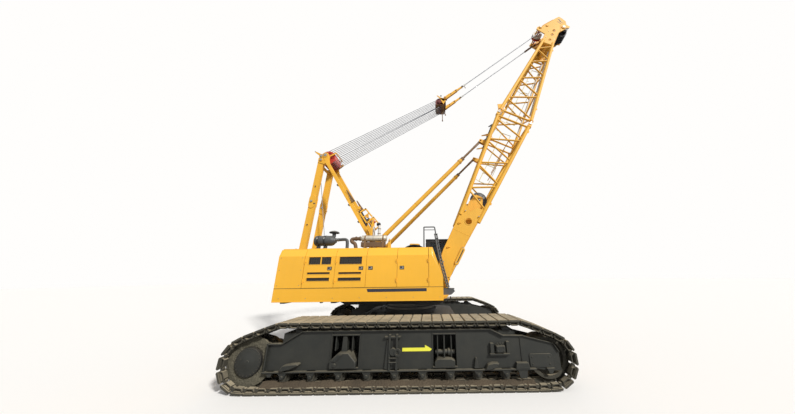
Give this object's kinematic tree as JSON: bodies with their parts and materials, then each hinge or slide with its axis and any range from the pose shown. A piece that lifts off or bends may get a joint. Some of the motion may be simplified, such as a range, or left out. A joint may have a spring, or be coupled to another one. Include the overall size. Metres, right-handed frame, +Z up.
{
  "type": "crawler crane",
  "caption": "Crawler crane with lattice boom on plated foot, A-frame gantry, luffing bridle and pendants, backstops, cab and machinery houses on a slewing frame.",
  "frame": {"origin": "on the slewing axis, at ground level under the tracks", "axes": "+X forwards along the boom and the tracks, +Y to the crane's left, +Z up"},
  "size_m": [12.3016, 6.35, 15.4424],
  "materials": {
    "yellow_paint": "semi-gloss machine enamel",
    "undercarriage_paint": "dusty charcoal enamel",
    "track_steel": "worn, dusty cast steel",
    "machined_steel": "greased machined steel",
    "sheave_paint": "red enamel, greased grooves",
    "winch_paint": "dark enamel",
    "wire_rope": "greased galvanised wire",
    "tube_paint": "brownish grey enamel",
    "engine_paint": "matt enamel",
    "silencer_steel": "heat-dulled aluminised steel",
    "cab_paint": "semi-gloss machine enamel",
    "cab_glass": "tinted safety glass",
    "cab_trim": "grained black plastic",
    "seat_fabric": "woven dark upholstery"
  },
  "bodies": {
    "undercarriage": {"carbody": "undercarriage_paint", "right_track_frame": "undercarriage_paint", "left_track_frame": "undercarriage_paint", "right_track": "track_steel", "left_track": "track_steel", "drive_sprockets": "track_steel", "final_drives": "undercarriage_paint", "idlers": "track_steel", "track_rollers": "track_steel", "slewing_ring_lower": "machined_steel"},
    "superstructure": {"revolving_frame": "yellow_paint", "slewing_ring_upper": "machined_steel", "right_house": "yellow_paint", "left_house": "yellow_paint", "right_house_roof": "yellow_paint", "left_house_roof": "yellow_paint", "engine": "engine_paint", "air_cleaner": "engine_paint", "muffler": "silencer_steel", "gantry": "yellow_paint", "cab_shell": "cab_paint", "cab_glass": "cab_glass", "operator_seat": "seat_fabric", "cab_console": "cab_trim", "cab_platform": "undercarriage_paint", "boarding_ladder": "undercarriage_paint"},
    "boom": {"boom_foot": "yellow_paint", "boom_lower_right_truss": "yellow_paint", "boom_lower_left_truss": "yellow_paint", "boom_lower_cross_bracing": "yellow_paint", "boom_splice_joints": "yellow_paint", "boom_upper_right_truss": "yellow_paint", "boom_upper_left_truss": "yellow_paint", "boom_upper_cross_bracing": "yellow_paint", "boom_head": "yellow_paint", "backstop_clevises": "yellow_paint"},
    "rope_guard": {"rope_guard": "yellow_paint"},
    "bridle": {"bridle_block": "yellow_paint"},
    "bridle_sheaves": {"bridle_sheaves": "sheave_paint"},
    "pendants": {"pendants": "wire_rope"},
    "backstop_tubes": {"backstop_tubes": "tube_paint"},
    "backstop_rods": {"backstop_rods": "machined_steel"},
    "gantry_sheaves": {"gantry_sheaves": "sheave_paint"},
    "head_sheaves": {"head_sheaves": "sheave_paint"},
    "idler_sheaves": {"idler_sheaves": "sheave_paint"},
    "boom_winch_drum": {"boom_winch_drum": "winch_paint"},
    "main_hoist_drum": {"main_hoist_drum": "winch_paint"},
    "auxiliary_hoist_drum": {"auxiliary_hoist_drum": "winch_paint"},
    "boom_hoist_drum": {"boom_hoist_drum": "winch_paint"},
    "cab_door": {"cab_door": "cab_paint", "cab_door_glass": "cab_glass"},
    "right_door_1": {"right_door_1": "yellow_paint"},
    "right_door_2": {"right_door_2": "yellow_paint"},
    "right_door_3": {"right_door_3": "yellow_paint"},
    "right_door_4": {"right_door_4": "yellow_paint"},
    "left_door_1": {"left_door_1": "yellow_paint"},
    "left_door_2": {"left_door_2": "yellow_paint"},
    "left_door_3": {"left_door_3": "yellow_paint"}
  },
  "joints": [
    {"name": "slewing", "type": "hinge", "parent": "undercarriage", "child": "superstructure", "pos_m": [0, 0, 1.4], "axis": [0, 0, 1], "continuous": true},
    {"name": "boom_luffing", "type": "hinge", "parent": "superstructure", "child": "boom", "pos_m": [1.08, 0, 2.2], "axis": [0, -1, 0], "range_deg": [-33.4, 16.6]},
    {"name": "tackle_swing", "type": "hinge", "parent": "superstructure", "child": "rope_guard", "pos_m": [-3.58, 0, 7.29], "axis": [0, -1, 0], "range_deg": [-21.88, 10.97]},
    {"name": "tackle_length", "type": "slide", "parent": "rope_guard", "child": "bridle", "axis": [0.86, 0, 0.5103], "range_m": [-1.8857, 3.7892]},
    {"name": "pendant_swing", "type": "hinge", "parent": "bridle", "child": "pendants", "pos_m": [1.52, 0, 10.31], "axis": [0, -1, 0], "range_deg": [-13.56, 6.84]},
    {"name": "backstop_swing", "type": "hinge", "parent": "superstructure", "child": "backstop_tubes", "pos_m": [-1.65, 0, 3.06], "axis": [0, -1, 0], "range_deg": [-25.93, 12.99]},
    {"name": "backstop_extension", "type": "slide", "parent": "backstop_tubes", "child": "backstop_rods", "axis": [0.6957, 0, 0.7183], "range_m": [-0.6889, 1.381]},
    {"name": "gantry_sheaves_spin", "type": "hinge", "parent": "superstructure", "child": "gantry_sheaves", "pos_m": [-3.58, 0, 7.29], "axis": [0, 1, 0], "continuous": true},
    {"name": "bridle_sheaves_spin", "type": "hinge", "parent": "bridle", "child": "bridle_sheaves", "pos_m": [1.29, 0, 10.18], "axis": [0, 1, 0], "continuous": true},
    {"name": "head_sheaves_spin", "type": "hinge", "parent": "boom", "child": "head_sheaves", "pos_m": [7.79134, 0, 14.66422], "axis": [0, 1, 0], "continuous": true},
    {"name": "idler_sheaves_spin", "type": "hinge", "parent": "boom", "child": "idler_sheaves", "pos_m": [6.58834, 0, 14.6739], "axis": [0, 1, 0], "continuous": true},
    {"name": "boom_winch_spin", "type": "hinge", "parent": "boom", "child": "boom_winch_drum", "pos_m": [2.63364, 0, 5.16855], "axis": [0, 1, 0], "continuous": true},
    {"name": "main_hoist_spin", "type": "hinge", "parent": "superstructure", "child": "main_hoist_drum", "pos_m": [0.13, 0, 2.9], "axis": [0, 1, 0], "continuous": true},
    {"name": "auxiliary_hoist_spin", "type": "hinge", "parent": "superstructure", "child": "auxiliary_hoist_drum", "pos_m": [-1.56, 0, 2.56], "axis": [0, 1, 0], "continuous": true},
    {"name": "boom_hoist_spin", "type": "hinge", "parent": "superstructure", "child": "boom_hoist_drum", "pos_m": [-2.95, 0, 2.5], "axis": [0, 1, 0], "continuous": true},
    {"name": "right_door_1_hinge", "type": "hinge", "parent": "superstructure", "child": "right_door_1", "pos_m": [-3.244, -1.52, 2.6], "axis": [0, 0, -1], "range_deg": [0, 90]},
    {"name": "right_door_2_hinge", "type": "hinge", "parent": "superstructure", "child": "right_door_2", "pos_m": [-2.261, -1.52, 2.6], "axis": [0, 0, -1], "range_deg": [0, 90]},
    {"name": "right_door_3_hinge", "type": "hinge", "parent": "superstructure", "child": "right_door_3", "pos_m": [-0.33, -1.52, 2.6], "axis": [0, 0, 1], "range_deg": [0, 90]},
    {"name": "right_door_4_hinge", "type": "hinge", "parent": "superstructure", "child": "right_door_4", "pos_m": [0.663, -1.52, 2.6], "axis": [0, 0, 1], "range_deg": [0, 90]},
    {"name": "left_door_1_hinge", "type": "hinge", "parent": "superstructure", "child": "left_door_1", "pos_m": [-3.244, 1.52, 2.6], "axis": [0, 0, 1], "range_deg": [0, 90]},
    {"name": "left_door_2_hinge", "type": "hinge", "parent": "superstructure", "child": "left_door_2", "pos_m": [-2.261, 1.52, 2.6], "axis": [0, 0, 1], "range_deg": [0, 90]},
    {"name": "left_door_3_hinge", "type": "hinge", "parent": "superstructure", "child": "left_door_3", "pos_m": [-0.526, 1.52, 2.6], "axis": [0, 0, -1], "range_deg": [0, 90]},
    {"name": "cab_door_hinge", "type": "hinge", "parent": "superstructure", "child": "cab_door", "pos_m": [0.748, 2.112, 2.9], "axis": [0, 0, 1], "range_deg": [0, 95]}
  ],
  "couplings": [
    {"joint": "tackle_swing", "follows": "boom_luffing", "ratio": 0.649},
    {"joint": "tackle_length", "follows": "boom_luffing", "m_per_rad": -6.4915},
    {"joint": "pendant_swing", "follows": "boom_luffing", "ratio": 0.4},
    {"joint": "backstop_swing", "follows": "boom_luffing", "ratio": 0.7705},
    {"joint": "backstop_extension", "follows": "boom_luffing", "m_per_rad": -2.3605}
  ]
}
